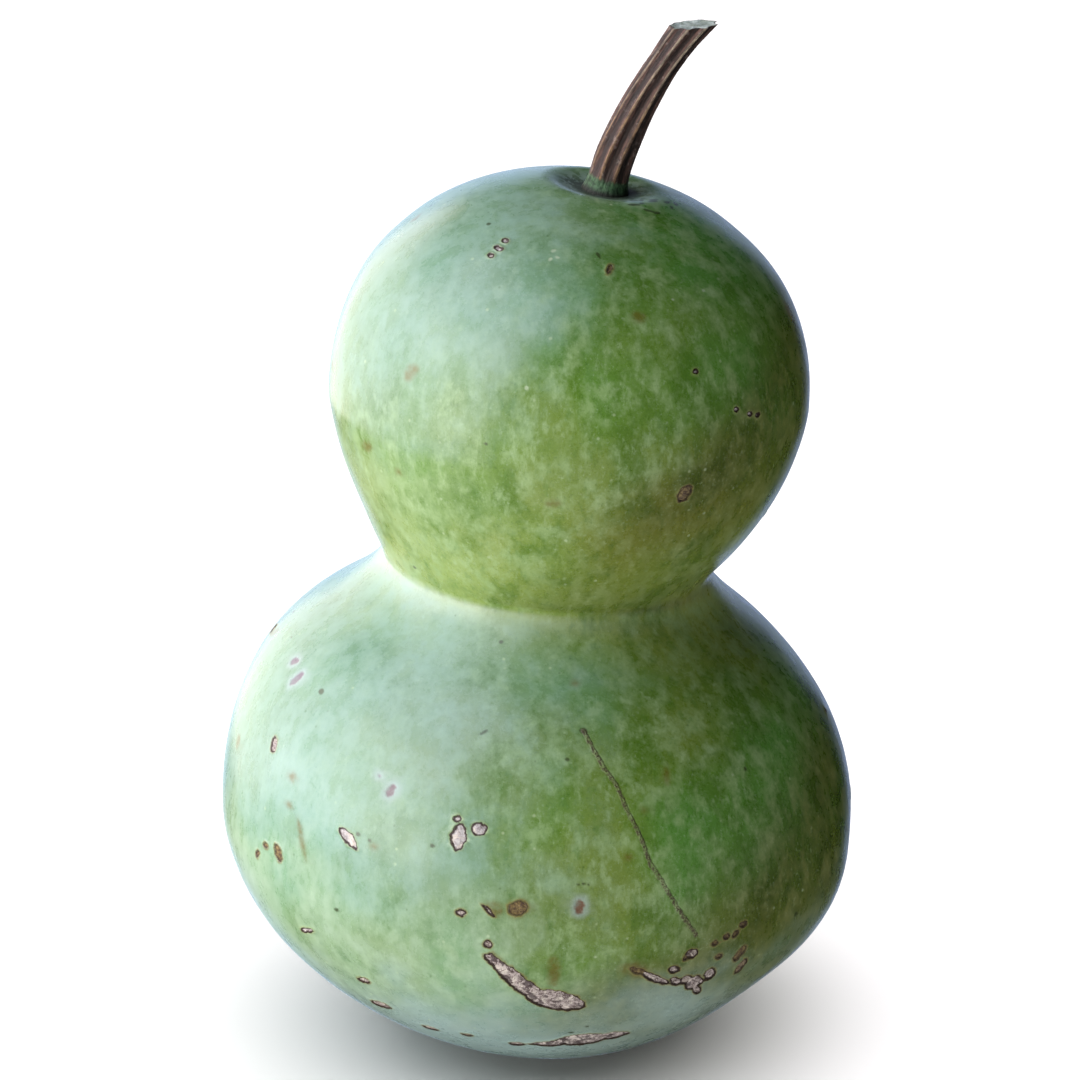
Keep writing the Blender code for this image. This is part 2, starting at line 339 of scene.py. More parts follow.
def make_turned_skin():
    """The straight fruit, turned from its profile, with a finer grid of faces on and around each mark."""
    bm = bmesh.new()
    chain = [bm.verts.new((radius, 0.0, height)) for radius, height in zip(*fruit_profile())]
    line = [bm.edges.new(pair) for pair in zip(chain, chain[1:])]
    bmesh.ops.spin(
        bm,
        geom=chain + line,
        cent=(0, 0, 0),
        axis=(0, 0, 1),
        dvec=(0, 0, 0),
        angle=math.tau,
        steps=FRUIT_SIDES,
        use_merge=True,
        use_duplicate=False,
    )
    bmesh.ops.remove_doubles(bm, verts=bm.verts[:], dist=0.01 * MM)
    for margin in FINER_MARGINS:
        bm.faces.ensure_lookup_table()
        middles = np.array([face.calc_center_median() for face in bm.faces])
        chosen = np.flatnonzero(near_marks(middles, margin))
        edges = {edge for index in chosen for edge in bm.faces[index].edges}
        bmesh.ops.subdivide_edges(bm, edges=list(edges), cuts=1, use_grid_fill=True)
    bmesh.ops.recalc_face_normals(bm, faces=bm.faces[:])
    mesh = bpy.data.meshes.new("gourd_skin")
    bm.to_mesh(mesh)
    bm.free()
    return mesh


def read_vectors(items, name):
    values = np.empty(len(items) * 3, np.float32)
    items.foreach_get(name, values)
    return values.reshape(-1, 3).astype(np.float64)


def noise_at(points, size, seed=0.0):
    """Smooth noise from -1 to 1 whose lumps are about this size."""
    return np.array([noise.noise(Vector(point) / size + Vector((seed, seed, seed))) for point in points])


def inside_mark(points, mark):
    """How far inside a mark's outline each point is, in metres: outside is negative."""
    place, east, north, _ = place_on_fruit(mark.azimuth, mark.height * MM)
    tilt = math.radians(mark.tilt)
    offset = points - place
    length, width = mark.length / 2.0 * MM, mark.width / 2.0 * MM
    x = offset @ (east * math.cos(tilt) + north * math.sin(tilt)) / length
    y = offset @ (north * math.cos(tilt) - east * math.sin(tilt))
    y = (y - mark.bow * MM * (1.0 - np.minimum(x**2, 1.0))) / width
    power = mark.roundness
    size = np.maximum((np.abs(x) ** power + np.abs(y) ** power) ** (1.0 / power), 1e-4)
    steepness = np.hypot(np.abs(x) ** (power - 1.0) / length, np.abs(y) ** (power - 1.0) / width)
    steepness = size ** (1.0 - power) * steepness
    return np.minimum((1.0 - size) / np.maximum(steepness, 1.0 / length), width)


def smoothstep(value, start=0.0, end=1.0):
    share = np.clip((value - start) / (end - start), 0.0, 1.0)
    return share * share * (3.0 - 2.0 * share)


# A mark colours or lifts the rind no further than this past its outline.
MARK_REACH = 2.5 * MM
FAR_OUTSIDE = -3.0 * MM


def find_marks(points):
    """The marks as values at each point, which the relief and the rind's colours are worked out from.

    scar and scratch are depths inside an outline, in metres. The others are strengths from 0 to 1.
    """
    names = ("scar", "scratch", "tone", "bruise", "halo", "stain", "speck", "fleck")
    found = {name: np.zeros(len(points)) for name in names}
    found["scar"] += FAR_OUTSIDE
    found["scratch"] += FAR_OUTSIDE
    near = np.flatnonzero(near_marks(points, MARK_REACH))
    ragged = noise_at(points[near], 1.3 * MM) * 0.7 + noise_at(points[near], 0.5 * MM, 9.0) * 0.3
    for mark in MARKS:
        start, end, reach = mark_line(mark)
        local = distance_to_line(points[near], start, end) < reach + MARK_REACH
        index = near[local]
        depth = inside_mark(points[index], mark)
        depth = depth + ragged[local] * min(0.22 * mark.width, 0.55) * MM
        if mark.kind == "cork":
            deeper = depth > found["scar"][index]
            found["tone"][index] = np.where(deeper, mark.tone, found["tone"][index])
            found["scar"][index] = np.maximum(found["scar"][index], depth)
        elif mark.kind == "bruise":
            core = smoothstep(depth, -0.1 * MM, 0.5 * MM)
            found["bruise"][index] = np.maximum(found["bruise"][index], core)
            halo = smoothstep(depth, -2.0 * MM, 0.1 * MM)
            found["halo"][index] = np.maximum(found["halo"][index], halo)
            found["tone"][index] = np.where(depth > -1.5 * MM, mark.tone, found["tone"][index])
        elif mark.kind == "stain":
            soft = smoothstep(depth, -0.9 * MM, 1.0 * MM)
            found["stain"][index] = np.maximum(found["stain"][index], soft)
        else:
            name = "speck" if mark.kind == "dot" else "fleck"
            sharp = smoothstep(depth, -0.15 * MM, 0.2 * MM)
            found[name][index] = np.maximum(found[name][index], sharp)
    scratch = scratch_points()
    for start, end in zip(scratch, scratch[1:]):
        across = distance_to_line(points[near], start, end)
        depth = SCRATCH_WIDTH / 2.0 - across + ragged * 0.35 * MM
        found["scratch"][near] = np.maximum(found["scratch"][near], depth)
    return found


def scar_relief(points, found):
    """How far the rind stands out of its smooth shape at each point: lips round the scars, crackled cork."""
    relief = np.zeros(len(points))
    outline = np.maximum(found["scar"], found["scratch"])
    near = np.flatnonzero((outline > -1.5 * MM) | (found["bruise"] > 0.0))
    scar = found["scar"][near]
    lip = 0.16 * MM * np.exp(-((scar + 0.15 * MM) / (0.35 * MM)) ** 2)
    groove = -0.22 * MM * np.exp(-((scar - 0.35 * MM) / (0.28 * MM)) ** 2)
    flakes = noise_at(points[near], 0.9 * MM, 3.0) * 0.7 + noise_at(points[near], 0.45 * MM, 5.0) * 0.3
    cork = smoothstep(scar, 0.2 * MM, 0.9 * MM) * flakes * 0.22 * MM
    scratch = smoothstep(found["scratch"][near], -0.2 * MM, 0.3 * MM) * (flakes * 0.08 - 0.04) * MM
    relief[near] = lip + groove + cork + scratch - 0.12 * MM * found["bruise"][near]
    return relief


def lean_at(height):
    return LOWER_LEAN + (UPPER_LEAN - LOWER_LEAN) * height / LOBE_SPACING


def lean_fruit(points, height):
    """Sets each ring of the straight fruit square on the leaning, swaying axis."""
    mean_lean = lean_at(height / 2.0)
    reach = np.where(height < WAIST_HEIGHT, WAIST_SWAY_BELOW, WAIST_SWAY_ABOVE)
    sway = WAIST_SWAY * np.exp(-(((height - WAIST_HEIGHT) / reach) ** 2))
    crown = np.maximum(height - LOBE_SPACING - CROWN_SWAY_START, 0.0) / (UPPER_ABOVE - CROWN_SWAY_START)
    lean = lean_at(height)
    across = points[:, 0]
    above = points[:, 2] - height
    leaned = np.empty_like(points)
    leaned[:, 0] = height * np.sin(mean_lean) + sway + CROWN_SWAY * crown**2
    leaned[:, 0] += across * np.cos(lean) + above * np.sin(lean)
    leaned[:, 1] = points[:, 1]
    leaned[:, 2] = height * np.cos(mean_lean) - across * np.sin(lean) + above * np.cos(lean)
    return leaned


def seat_direction():
    return Vector((math.sin(SEAT_LEAN), 0.0, math.cos(SEAT_LEAN)))


def press_dimple(points):
    """Sinks the stalk's seat into the crown, with a soft rim round it."""
    facing = np.array(seat_direction())
    offset = points - np.array(SEAT)
    above = offset @ facing
    across = np.linalg.norm(offset - above[:, None] * facing, axis=1)
    rise = smoothstep(across, SEAT_RADIUS, DIMPLE_RADIUS)
    sunk = np.where((across < DIMPLE_RADIUS) & (above > -DIMPLE_RADIUS), above * (1.0 - rise), 0.0)
    return points - sunk[:, None] * facing


ENDS_KEPT_ROUND = 12 * MM
TUCK_DEPTH = 2.0 * MM
TUCK_AZIMUTH = 70.0
TUCK_WIDTH = 32.0
TUCK_HEIGHT = -28 * MM
TUCK_REACH = 12 * MM


def grow_unevenly(points, normals):
    """The slow swells of a grown fruit: it isn't quite round, and its right flank is tucked in low down."""
    around = np.degrees(np.arctan2(points[:, 0], -points[:, 1]))
    height = points[:, 2]
    oval = 0.30 * MM * np.cos(np.radians(2.0 * around + 50.0))
    oval += 0.20 * MM * np.cos(np.radians(3.0 * around))
    swells = 0.45 * MM * noise_at(points, 34 * MM) + 0.12 * MM * noise_at(points, 12 * MM, 4.0)
    across = (around - TUCK_AZIMUTH) / TUCK_WIDTH
    along = (height - TUCK_HEIGHT) / TUCK_REACH
    tuck = -TUCK_DEPTH * np.exp(-(across**2) - along**2)
    top = LOBE_SPACING + UPPER_ABOVE
    body = smoothstep(height, -LOWER_BELOW, -LOWER_BELOW + ENDS_KEPT_ROUND)
    body *= smoothstep(-height, -top, -top + ENDS_KEPT_ROUND)
    return points + normals * ((oval + swells + tuck) * body)[:, None]


# The side the windows light. The wax bloom, painted highlights and painted reflection lie thickest on it, and
# painted shade lies on the side turned from it.
LAMP_SIDE = np.array((-0.664, -0.242, 0.707))
# The rind round the stalk is driest out to the first distance, and like the rest past the second. The painted
# shade at the collar is darkest within the first.
SEAT_DRIEST = 5 * MM
SEAT_DRY = 17 * MM


def make_fruit():
    mesh = make_turned_skin()
    points = read_vectors(mesh.vertices, "co")
    ring = np.hypot(points[:, 0], points[:, 1])
    height = points[:, 2].copy()
    # The points that the finer grids added lie on flat faces, so they are put back on the round.
    points[:, :2] *= (fruit_radius(height) / np.maximum(ring, 1e-9))[:, None]
    normals = read_vectors(mesh.vertex_normals, "vector")
    found = find_marks(points)
    relief = scar_relief(points, found)
    found["height"] = height / LOBE_SPACING
    # How squarely each point faces the lamps, which the rind's painted light and painted shade follow.
    found["facing_lamps"] = normals @ LAMP_SIDE
    shaped = grow_unevenly(points, normals) + normals * relief[:, None]
    shaped = lean_fruit(shaped, height)
    shaped[:, 2] -= shaped[:, 2].min() + FOOT_CUT
    shaped = press_dimple(shaped)
    shaped[:, 2] = np.maximum(shaped[:, 2], 0.0)
    mesh.vertices.foreach_set("co", shaped.astype(np.float32).ravel())
    from_seat = np.linalg.norm(shaped - np.array(SEAT), axis=1)
    found["seat"] = 1.0 - smoothstep(from_seat, SEAT_DRIEST, SEAT_DRY)
    for name, values in found.items():
        # Lengths are stored in millimetres, which suit the rind's nodes.
        scale = 1.0 / MM if name in ("scar", "scratch") else 1.0
        attribute = mesh.attributes.new(name, "FLOAT", "POINT")
        attribute.data.foreach_set("value", (values * scale).astype(np.float32))
    mesh.shade_smooth()
    mesh.update()
    return mesh


def linear(code):
    """An sRGB hex colour as linear red, green, blue and alpha."""
    parts = [int(code[i : i + 2], 16) / 255.0 for i in (1, 3, 5)]
    parts = [part / 12.92 if part <= 0.04045 else ((part + 0.055) / 1.055) ** 2.4 for part in parts]
    return parts + [1.0]


# The kinds of node that the finishes are made of: Blender's type for each, its settings, its inputs in the
# order they are given, and the output that is used. ShaderNodeMix has its colours at inputs 6 and 7.
NODE_KINDS = {
    "place": ("ShaderNodeTexCoord", {}, (), "Object"),
    "mark": ("ShaderNodeAttribute", {}, (), "Fac"),
    "mark_place": ("ShaderNodeAttribute", {}, (), "Vector"),
    "stretch": ("ShaderNodeMapping", {}, ("Vector", "Scale"), "Vector"),
    "shift": ("ShaderNodeMapping", {}, ("Vector", "Location"), "Vector"),
    "noise": ("ShaderNodeTexNoise", {}, ("Vector", "Scale", "Detail", "Roughness", "Distortion"), "Fac"),
    "cells": ("ShaderNodeTexVoronoi", {}, ("Vector", "Scale"), "Distance"),
    "red": ("ShaderNodeSeparateColor", {}, ("Color",), "Red"),
    # A value eased from one limit to another, from 0 to 1 unless two more values say otherwise.
    "ease": (
        "ShaderNodeMapRange",
        {"interpolation_type": "SMOOTHSTEP"},
        ("Value", "From Min", "From Max", "To Min", "To Max"),
        "Result",
    ),
    # One colour laid over another where the factor is 1, or multiplied into it.
    "lay": ("ShaderNodeMix", {"data_type": "RGBA"}, ("Factor", 6, 7), 2),
    "glaze": ("ShaderNodeMix", {"data_type": "RGBA", "blend_type": "MULTIPLY"}, ("Factor", 6, 7), 2),
    "multiply": ("ShaderNodeMath", {"operation": "MULTIPLY"}, (0, 1), "Value"),
    "add": ("ShaderNodeMath", {"operation": "ADD"}, (0, 1), "Value"),
    "subtract": ("ShaderNodeMath", {"operation": "SUBTRACT"}, (0, 1), "Value"),
    "absolute": ("ShaderNodeMath", {"operation": "ABSOLUTE"}, (0,), "Value"),
    "maximum": ("ShaderNodeMath", {"operation": "MAXIMUM"}, (0, 1), "Value"),
    "bump": ("ShaderNodeBump", {}, ("Height", "Strength", "Distance"), "Normal"),
}


def add_node(tree, kind, *inputs, **settings):
    """Adds a node with its settings and links, and returns its output. An input is a value or a socket."""
    blender_type, usual, names, output = NODE_KINDS[kind]
    node = tree.nodes.new(blender_type)
    for name, value in (usual | settings).items():
        setattr(node, name, value)
    for name, value in zip(names, inputs):
        if isinstance(value, bpy.types.NodeSocket):
            tree.links.new(value, node.inputs[name])
        else:
            node.inputs[name].default_value = value
    return node.outputs[output]


def make_rind():
    """Satin green rind with waxy bloom, painted light and painted shade, streaked along the fruit and healed
    over with cork.
    """
    material = bpy.data.materials.new("green_rind")
    material.use_nodes = True
    tree = material.node_tree
    shader = tree.nodes["Principled BSDF"]
    place = add_node(tree, "place")
    marks = {
        name: add_node(tree, "mark", attribute_name=name)
        for name in (
            "height", "facing_lamps", "seat", "scar", "scratch", "tone", "bruise", "halo", "stain", "speck", "fleck"
        )
    }

    # The rind's cells stretched as the fruit grew, so its clouds are drawn out along it.
    cloudy = add_node(tree, "stretch", place, (1.0, 1.0, 0.75))
    stretched = add_node(tree, "stretch", place, (1.0, 1.0, 0.40))

    # Leaf green drifts into olive over 45 mm. The neck ripens to yellow first. Painted shade deepens the side
    # turned from the lamps.
    drift = add_node(tree, "noise", place, 1.0 / 0.045)
    neck = add_node(
        tree,
        "multiply",
        add_node(tree, "ease", marks["height"], 0.46, 0.62),
        add_node(tree, "ease", marks["height"], 1.02, 0.66),
    )
    turned_from_lamps = add_node(tree, "ease", marks["facing_lamps"], 0.08, -0.28)
    ground = add_node(
        tree, "lay", add_node(tree, "ease", drift, 0.36, 0.66), linear("#558738"), linear("#6f8636")
    )
    # The neck's yellow is its own, but it is laid thinner on the side turned from the lamps, as painted
    # shade.
    yellowed = add_node(
        tree, "multiply", neck, add_node(tree, "ease", marks["facing_lamps"], -0.5, 0.1, 0.35, 0.7)
    )
    ground = add_node(tree, "lay", yellowed, ground, linear("#93a254"))
    # Darker pools 13 mm across, then pale and deep clouds 3 to 5 mm across, and the finest grain of the skin.
    pools = add_node(tree, "noise", cloudy, 1.0 / 0.013, 6.0, 0.62)
    ground = add_node(
        tree, "lay", add_node(tree, "ease", pools, 0.46, 0.64, 0.0, 0.6), ground, linear("#466c1c")
    )
    clouds = add_node(tree, "noise", cloudy, 1.0 / 0.005, 8.0, 0.66)
    ground = add_node(
        tree, "lay", add_node(tree, "ease", clouds, 0.45, 0.66, 0.0, 0.62), ground, linear("#94b078")
    )
    wisps = add_node(tree, "noise", stretched, 1.0 / 0.0028, 8.0, 0.7)
    ground = add_node(
        tree, "lay", add_node(tree, "ease", wisps, 0.52, 0.68, 0.0, 0.36), ground, linear("#a6c190")
    )
    ground = add_node(
        tree, "lay", add_node(tree, "ease", wisps, 0.48, 0.34, 0.0, 0.42), ground, linear("#45701f")
    )
    # Painted shade: the side turned from the lamps is glazed darker and browner, less so at the neck.
    painted_shade = add_node(tree, "multiply", turned_from_lamps, add_node(tree, "ease", neck, 0.0, 1.0, 0.9, 0.55))
    ground = add_node(tree, "glaze", painted_shade, ground, linear("#c6ac76"))
    grain = add_node(tree, "noise", place, 1.0 / 0.0008, 4.0, 0.7)
    ground = add_node(
        tree, "lay", add_node(tree, "ease", grain, 0.55, 0.72, 0.0, 0.3), ground, linear("#a9c29a")
    )
    ground = add_node(
        tree, "lay", add_node(tree, "ease", grain, 0.46, 0.3, 0.0, 0.35), ground, linear("#37591d")
    )
    # A mint veil with a cloudy edge on the side facing the lamps, partly wax bloom and partly a painted
    # reflection of the windows. It reaches lower on the lower lobe.
    broad = add_node(tree, "noise", place, 1.0 / 0.028, 4.0, 0.55)
    level = add_node(
        tree, "add", marks["height"], add_node(tree, "ease", broad, 0.28, 0.72, -0.08, 0.08)
    )
    low_bloom_and_reflection = add_node(tree, "ease", level, 0.42, -0.22, 0.0, 0.48)
    edge_of_bloom_and_reflection = add_node(
        tree, "add", low_bloom_and_reflection, add_node(tree, "ease", pools, 0.3, 0.7, 0.12, -0.12)
    )
    edge_of_bloom_and_reflection = add_node(tree, "add", marks["facing_lamps"], edge_of_bloom_and_reflection)
    cloudiness = add_node(tree, "ease", clouds, 0.34, 0.6, 0.78, 1.0)
    cloudiness = add_node(
        tree, "multiply", cloudiness, add_node(tree, "ease", wisps, 0.34, 0.56, 0.84, 1.0)
    )
    belly = add_node(
        tree,
        "multiply",
        add_node(tree, "ease", level, 0.62, 0.72),
        add_node(tree, "ease", level, 1.08, 0.84),
    )
    thin_veil = add_node(
        tree, "multiply", add_node(tree, "ease", edge_of_bloom_and_reflection, -0.05, 0.5, 0.0, 0.45), belly
    )
    veil = add_node(
        tree, "multiply", add_node(tree, "ease", edge_of_bloom_and_reflection, 0.38, 0.98, 0.0, 0.72), cloudiness
    )
    # Painted light bounced up from the paper: the underside is paler and bluish, most on the side facing the
    # lamps.
    base = add_node(tree, "ease", level, 0.05, -0.36, 0.0, 0.78)
    base = add_node(
        tree, "multiply", base, add_node(tree, "ease", marks["facing_lamps"], -0.95, -0.4, 0.25, 1.0)
    )
    ground = add_node(tree, "lay", thin_veil, ground, linear("#a4b88e"))
    # The veil's tint, partly wax and partly painted reflection: mint over most of the fruit, yellow-green at
    # the bottom.
    wax_and_reflection = add_node(
        tree, "lay", add_node(tree, "ease", level, 0.14, -0.14), linear("#80a29c"), linear("#9fb593")
    )
    ground = add_node(tree, "lay", veil, ground, wax_and_reflection)
    ground = add_node(tree, "lay", base, ground, linear("#a2bbb9"))
    # A painted highlight along the waist's fold, on the side facing the lamps.
    waist_highlight = add_node(
        tree,
        "multiply",
        add_node(tree, "ease", marks["height"], 0.56, 0.62),
        add_node(tree, "ease", marks["height"], 0.7, 0.64),
    )
    waist_highlight = add_node(tree, "multiply", waist_highlight, add_node(tree, "ease", marks["facing_lamps"], 0.05, 0.5, 0.0, 0.28))
    ground = add_node(tree, "lay", waist_highlight, ground, linear("#c3d4cc"))

    # Pores: dark pinpricks and paler ones, about 3 mm apart, with one in about eight of the places.
    for spacing, colour, seed in ((0.0026, "#33541f", 0.0), (0.0034, "#b9cca4", 0.5)):
        moved = add_node(tree, "shift", place, (seed, seed, seed))
        cells = add_node(tree, "cells", moved, 1.0 / spacing)
        chance = add_node(tree, "red", cells.node.outputs["Color"])
        pore = add_node(tree, "ease", cells, 0.16, 0.05)
        pore = add_node(tree, "multiply", pore, add_node(tree, "ease", chance, 0.84, 0.9, 0.0, 0.4))
        ground = add_node(tree, "lay", pore, ground, linear(colour))

    # The dimple under the stalk is dry and grey and crazed with dark creases. Painted shade makes it nearly
    # black at the collar.
    creases = add_node(tree, "ease", add_node(tree, "noise", place, 1.0 / 0.002, 5.0, 0.7), 0.46, 0.54)
    dry = add_node(tree, "lay", creases, linear("#3c4940"), linear("#7d9087"))
    dried = add_node(
        tree,
        "multiply",
        add_node(tree, "ease", marks["seat"], 0.0, 0.8),
        add_node(tree, "ease", pools, 0.35, 0.6, 0.95, 0.55),
    )
    ground = add_node(tree, "lay", dried, ground, dry)
    # Painted shade where the collar meets the rind.
    ground = add_node(
        tree,
        "lay",
        add_node(tree, "ease", marks["seat"], 0.78, 1.0, 0.0, 0.85),
        ground,
        linear("#1f2a1c"),
    )

    # Stains and bruises are soft; specks and flecks are sharp.
    blotches = add_node(tree, "noise", place, 1.0 / 0.0016, 4.0, 0.65)
    stained = add_node(
        tree, "multiply", marks["stain"], add_node(tree, "ease", blotches, 0.3, 0.6, 0.35, 0.75)
    )
    ground = add_node(tree, "lay", stained, ground, linear("#665a22"))
    ground = add_node(
        tree, "lay", add_node(tree, "multiply", marks["halo"], 0.5), ground, linear("#a3b3b6")
    )
    mauve = add_node(tree, "lay", marks["tone"], linear("#71687a"), linear("#6e4c37"))
    bruised = add_node(
        tree, "multiply", marks["bruise"], add_node(tree, "ease", blotches, 0.3, 0.6, 0.6, 0.95)
    )
    ground = add_node(tree, "lay", bruised, ground, mauve)
    ground = add_node(
        tree, "lay", add_node(tree, "multiply", marks["speck"], 0.8), ground, linear("#313a1a")
    )
    ground = add_node(
        tree, "lay", add_node(tree, "multiply", marks["fleck"], 0.5), ground, linear("#c3d2b4")
    )

    # Cork: pale flaky tissue, lumpy with cream and crazed with brown, inside a dark rim where the rind curled
    # back. Small old scars are olive brown all over.
    flakes = add_node(tree, "noise", place, 1.0 / 0.0008, 3.0, 0.7)
    edge = add_node(
        tree,
        "add",
        marks["scar"],
        add_node(tree, "ease", add_node(tree, "noise", place, 1.0 / 0.0009, 2.0), 0.2, 0.8, -0.14, 0.14),
    )
    crazing = add_node(
        tree,
        "absolute",
        add_node(tree, "subtract", add_node(tree, "noise", place, 1.0 / 0.0019, 4.0, 0.6, 1.2), 0.5),
    )
    pale = add_node(
        tree, "lay", add_node(tree, "ease", flakes, 0.38, 0.62), linear("#c3bfbd"), linear("#93898a")
    )
    browned = add_node(
        tree, "lay", add_node(tree, "ease", flakes, 0.4, 0.6), linear("#b5a69e"), linear("#65554f")
    )
    pale = add_node(
        tree, "lay", add_node(tree, "ease", marks["tone"], 0.15, 0.45, 0.0, 0.75), pale, browned
    )
    pale = add_node(
        tree, "lay", add_node(tree, "ease", blotches, 0.5, 0.6, 0.0, 0.8), pale, linear("#d8cfc2")
    )
    torn = add_node(tree, "ease", add_node(tree, "noise", place, 1.0 / 0.0022, 3.0), 0.54, 0.62)
    torn = add_node(tree, "multiply", torn, add_node(tree, "ease", marks["tone"], 0.2, 0.45, 0.0, 0.8))
    pale = add_node(tree, "lay", torn, pale, linear("#473a3c"))
    olive_brown = add_node(
        tree, "lay", add_node(tree, "ease", flakes, 0.35, 0.65), linear("#857243"), linear("#574523")
    )
    cork = add_node(tree, "lay", add_node(tree, "ease", marks["tone"], 0.5, 0.85), pale, olive_brown)
    cracked = add_node(tree, "ease", crazing, 0.035, 0.005)
    cracked = add_node(
        tree, "multiply", cracked, add_node(tree, "ease", marks["tone"], 0.1, 0.4, 0.1, 0.9)
    )
    cork = add_node(tree, "lay", cracked, cork, linear("#46322e"))
    inside = add_node(tree, "ease", edge, -0.05, 0.12)
    ground = add_node(
        tree, "lay", add_node(tree, "ease", edge, -0.9, -0.1, 0.0, 0.35), ground, linear("#9aa36c")
    )
    ground = add_node(tree, "lay", inside, ground, cork)
    fringe = add_node(
        tree,
        "multiply",
        add_node(tree, "ease", edge, -0.55, -0.3),
        add_node(tree, "ease", edge, 0.05, -0.15),
    )
    fringe = add_node(
        tree, "multiply", fringe, add_node(tree, "ease", marks["tone"], 0.2, 0.5, 0.0, 0.45)
    )
    ground = add_node(tree, "lay", fringe, ground, linear("#6f5427"))
    rim = add_node(
        tree,
        "multiply",
        add_node(tree, "ease", edge, -0.26, -0.06),
        add_node(tree, "ease", edge, 0.46, 0.16),
    )
    rim = add_node(tree, "multiply", rim, add_node(tree, "ease", marks["tone"], 0.6, 0.95, 0.95, 0.55))
    ground = add_node(tree, "lay", rim, ground, linear("#2f1b11"))
    grains = add_node(tree, "ease", add_node(tree, "noise", place, 1.0 / 0.0006, 2.0, 0.7), 0.38, 0.58)
    scratch = add_node(
        tree,
        "multiply",
        add_node(tree, "ease", marks["scratch"], -0.3, 0.35),
        add_node(tree, "ease", grains, 0.0, 1.0, 0.3, 0.85),
    )
    ground = add_node(
        tree, "lay", scratch, ground, add_node(tree, "lay", grains, linear("#7a7355"), linear("#49392a"))
    )
    tree.links.new(ground, shader.inputs["Base Color"])

    # The wax has a satin gloss that the bloom dulls in clouds, and cork has none.
    gloss = add_node(tree, "ease", clouds, 0.3, 0.7, 0.24, 0.34)
    corky = add_node(tree, "maximum", inside, add_node(tree, "ease", marks["scratch"], -0.1, 0.3))
    dull = add_node(
        tree,
        "maximum",
        add_node(tree, "multiply", corky, 0.42),
        add_node(tree, "ease", marks["seat"], 0.2, 0.9, 0.0, 0.38),
    )
    roughness = add_node(tree, "add", gloss, dull)
    tree.links.new(roughness, shader.inputs["Roughness"])
    shader.inputs["IOR"].default_value = 1.5

    # Texture finer than the mesh: pebbled skin 0.9 mm across, and flaked cork.
    pebbles = add_node(tree, "multiply", add_node(tree, "noise", place, 1.0 / 0.0009, 3.0, 0.55), 0.035)
    flaked = add_node(tree, "multiply", add_node(tree, "multiply", flakes, corky), 0.35)
    bump = add_node(tree, "bump", add_node(tree, "add", pebbles, flaked), 0.8, MM)
    tree.links.new(bump, shader.inputs["Normal"])
    return material


fruit = bpy.data.objects.new("gourd_skin", make_fruit())
bpy.context.scene.collection.objects.link(fruit)
fruit.data.materials.append(make_rind())
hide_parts("gourd_fruit")
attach(fruit, "root")


# ---------------------------------------------------------------------------------------------- the stalk
# The stalk is the dead end of the vine's stem: ribbed, curved bark that dried brown, with pale ridges where
# its strings run. It widens into a collar that is still green, and it was cut off at a slant.

STALK_END = Vector((37.1 * MM, 0.0, 246.3 * MM))
STALK_END_LEAN = math.radians(39.5)
STALK_HANDLE = 13.4 * MM
# Each pair is a share of the stalk's length and the radius there.
STALK_RADII = (
    (0.00, 5.60 * MM),
    (0.03, 5.45 * MM),
    (0.07, 4.75 * MM),
    (0.12, 4.55 * MM),
    (0.36, 4.30 * MM),
    (0.55, 3.85 * MM),
    (0.68, 3.60 * MM),
    (0.84, 3.85 * MM),
    (1.00, 4.40 * MM),
)
STALK_TWIST = math.radians(24.0)
STALK_SUNK = 1.2 * MM  # the collar grows out of the rind, so it starts this far under the seat
RIBS = 9
RIB_HEIGHT = 0.20  # a share of the stalk's radius
COLLAR_SHARE = 0.105  # how much of the stalk's length is still green
CUT_POINT = Vector((34.6 * MM, 0.0, 243.0 * MM))
CUT_NORMAL = Vector((-0.06, -0.04, 1.0)).normalized()
# Each ring of the cut face: its size beside the ring outside it, and how far it sinks in millimetres.
PITH_RINGS = ((0.90, 0.0), (0.90, 0.18), (0.72, 0.10), (0.55, 0.0))
STALK_SIDES = 126
STALK_STATIONS = 110
# The bark's noise is worked out on a straight rod about as thick and as long as the stalk, in millimetres.
ROD_RADIUS = 4.0
ROD_LENGTH = 48.0


def stalk_line():
    """Points along the middle of the stalk, from under its seat to past its cut."""
    facing = seat_direction()
    end_direction = Vector((math.sin(STALK_END_LEAN), 0.0, math.cos(STALK_END_LEAN)))
    start = SEAT - facing * STALK_SUNK
    start_handle = start + facing * STALK_HANDLE
    end_handle = STALK_END - end_direction * STALK_HANDLE
    return interpolate_bezier(start, start_handle, end_handle, STALK_END, STALK_STATIONS)


def rib_crest(angle):
    """How near a rib's crest an angle round the stalk is, from 0 in a groove up. The ribs differ a little."""
    wave = 0.5 + 0.5 * math.cos(RIBS * angle)
    uneven = 0.62 + 0.33 * math.cos(angle + 1.9) + 0.08 * math.cos(5.0 * angle)
    return wave**1.9 * uneven


def stalk_radius(share, angle):
    shares, radii = zip(*STALK_RADII)
    radius = float(np.interp(share, shares, radii))
    grown = float(smoothstep(np.array(share), COLLAR_SHARE * 0.6, COLLAR_SHARE * 1.9))
    return radius * (1.0 - RIB_HEIGHT / 2.0 * grown + RIB_HEIGHT * grown * rib_crest(angle))


